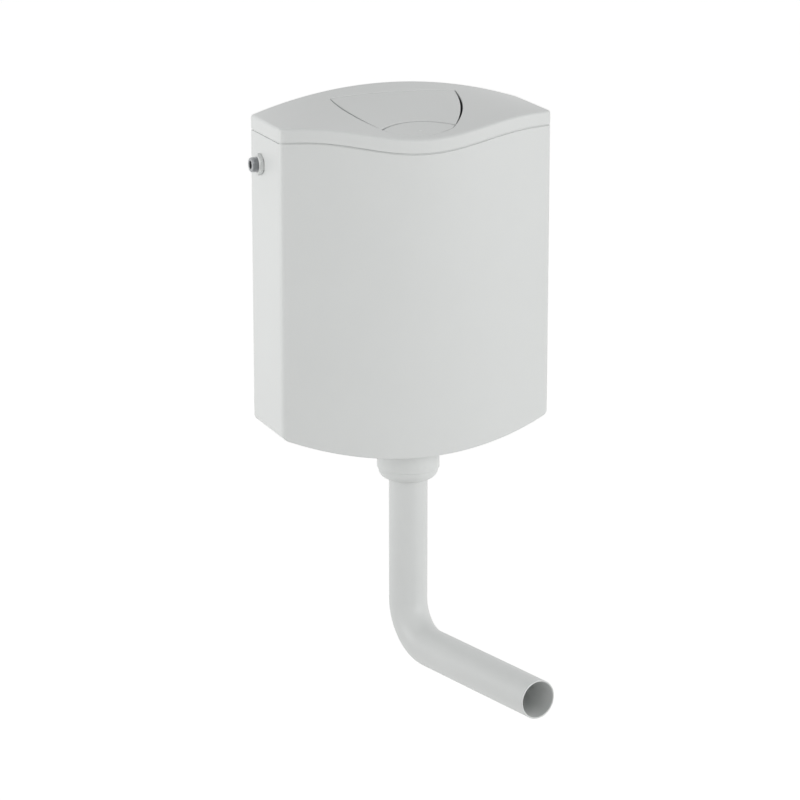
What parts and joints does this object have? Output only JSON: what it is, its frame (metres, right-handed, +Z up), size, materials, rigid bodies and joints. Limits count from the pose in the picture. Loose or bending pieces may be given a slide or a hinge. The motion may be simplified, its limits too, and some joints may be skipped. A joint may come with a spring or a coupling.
{
  "type": "toilet cistern",
  "caption": "Wall-hung plastic toilet cistern with a bowed front, a saddle-shaped lid with two flush buttons, a side water inlet and a swivelling flush bend.",
  "frame": {"origin": "midway between the two wall fixing holes, on the wall plane", "axes": "+X to the right seen from the front, +Y into the wall, +Z up"},
  "size_m": [0.3368, 0.3197, 0.6539],
  "materials": {
    "tank_plastic": "satin moulded",
    "lid_plastic": "satin moulded",
    "button_plastic": "satin moulded",
    "pipe_plastic": "satin extruded",
    "nut_plastic": "satin moulded",
    "liner_foam": "expanded foam",
    "seal_rubber": "matt",
    "valve_plastic": "moulded",
    "bridge_plastic": "moulded",
    "lever_plastic": "moulded",
    "float_plastic": "moulded",
    "pin_steel": "drawn",
    "shank_metal": "dull nickel plate"
  },
  "bodies": {
    "tank": {"tank": "tank_plastic", "condensation_liner": "liner_foam", "outlet_gasket": "seal_rubber", "outlet_socket": "valve_plastic", "outlet_locknut": "nut_plastic", "union_nut": "nut_plastic", "pipe_seal": "seal_rubber", "valve_housing": "valve_plastic", "lever_bridge": "bridge_plastic", "lever_pins": "pin_steel", "inlet_shank": "shank_metal", "inlet_nut": "nut_plastic", "inlet_washer": "seal_rubber", "fill_valve_body": "valve_plastic", "fill_diaphragm": "seal_rubber", "fill_valve_cap": "bridge_plastic", "float_arm_pin": "pin_steel", "fill_downpipe": "valve_plastic", "blanking_plug": "nut_plastic", "plug_washer": "seal_rubber", "plug_nut": "nut_plastic"},
    "lid": {"lid": "lid_plastic", "button_frame": "valve_plastic", "frame_screws": "pin_steel", "button_hinge_pin": "pin_steel"},
    "full_button": {"full_flush_button": "button_plastic"},
    "half_button": {"half_flush_button": "button_plastic"},
    "full_lever": {"full_flush_lever": "lever_plastic"},
    "half_lever": {"half_flush_lever": "lever_plastic"},
    "flush_valve": {"overflow_tube": "valve_plastic", "valve_seal": "seal_rubber", "seal_clip": "bridge_plastic", "valve_float": "float_plastic", "lift_arm": "bridge_plastic", "full_lift_rod": "pin_steel"},
    "half_lift": {"half_lift_rod": "pin_steel", "half_flush_float": "float_plastic"},
    "fill_float": {"float_cup": "float_plastic", "float_link": "pin_steel"},
    "float_arm": {"float_arm": "lever_plastic", "arm_pad": "seal_rubber"},
    "flush_pipe": {"flush_pipe": "pipe_plastic"}
  },
  "joints": [
    {"name": "lid_lift", "type": "slide", "parent": "tank", "child": "lid", "axis": [0, 0, 1], "range_m": [0, 0.12]},
    {"name": "full_flush_press", "type": "hinge", "parent": "lid", "child": "full_button", "pos_m": [0, -0.024, 0.05467], "axis": [1, 0, 0], "range_deg": [0, 8]},
    {"name": "full_lever_turn", "type": "hinge", "parent": "tank", "child": "full_lever", "pos_m": [0.03, -0.064, 0.008], "axis": [1, 0, 0], "range_deg": [0, 34]},
    {"name": "valve_lift", "type": "slide", "parent": "tank", "child": "flush_valve", "axis": [0, 0, 1], "range_m": [0, 0.0201]},
    {"name": "half_flush_press", "type": "slide", "parent": "lid", "child": "half_button", "axis": [0, 0, -1], "range_m": [0, 0.007]},
    {"name": "half_lever_turn", "type": "hinge", "parent": "tank", "child": "half_lever", "pos_m": [-0.03, -0.064, 0.008], "axis": [1, 0, 0], "range_deg": [0, 13.6]},
    {"name": "half_rod_lift", "type": "slide", "parent": "tank", "child": "half_lift", "axis": [0, 0, 1], "range_m": [0, 0.0073]},
    {"name": "float_rise", "type": "slide", "parent": "tank", "child": "fill_float", "axis": [0, 0, 1], "range_m": [0, 0.012]},
    {"name": "float_arm_turn", "type": "hinge", "parent": "tank", "child": "float_arm", "pos_m": [-0.107, -0.034, 0.02703], "axis": [0, -1, 0], "range_deg": [0, 23.3]},
    {"name": "pipe_swivel", "type": "hinge", "parent": "tank", "child": "flush_pipe", "pos_m": [0, -0.069, -0.4], "axis": [0, 0, 1], "range_deg": [-102.7, 77.3]}
  ],
  "couplings": [
    {"joint": "full_lever_turn", "follows": "full_flush_press", "ratio": 4.25},
    {"joint": "valve_lift", "follows": "full_flush_press", "m_per_rad": 0.14324},
    {"joint": "half_lever_turn", "follows": "half_flush_press", "rad_per_m": 33.66},
    {"joint": "half_rod_lift", "follows": "half_flush_press", "ratio": 1.0286},
    {"joint": "float_arm_turn", "follows": "float_rise", "rad_per_m": 33.7}
  ]
}
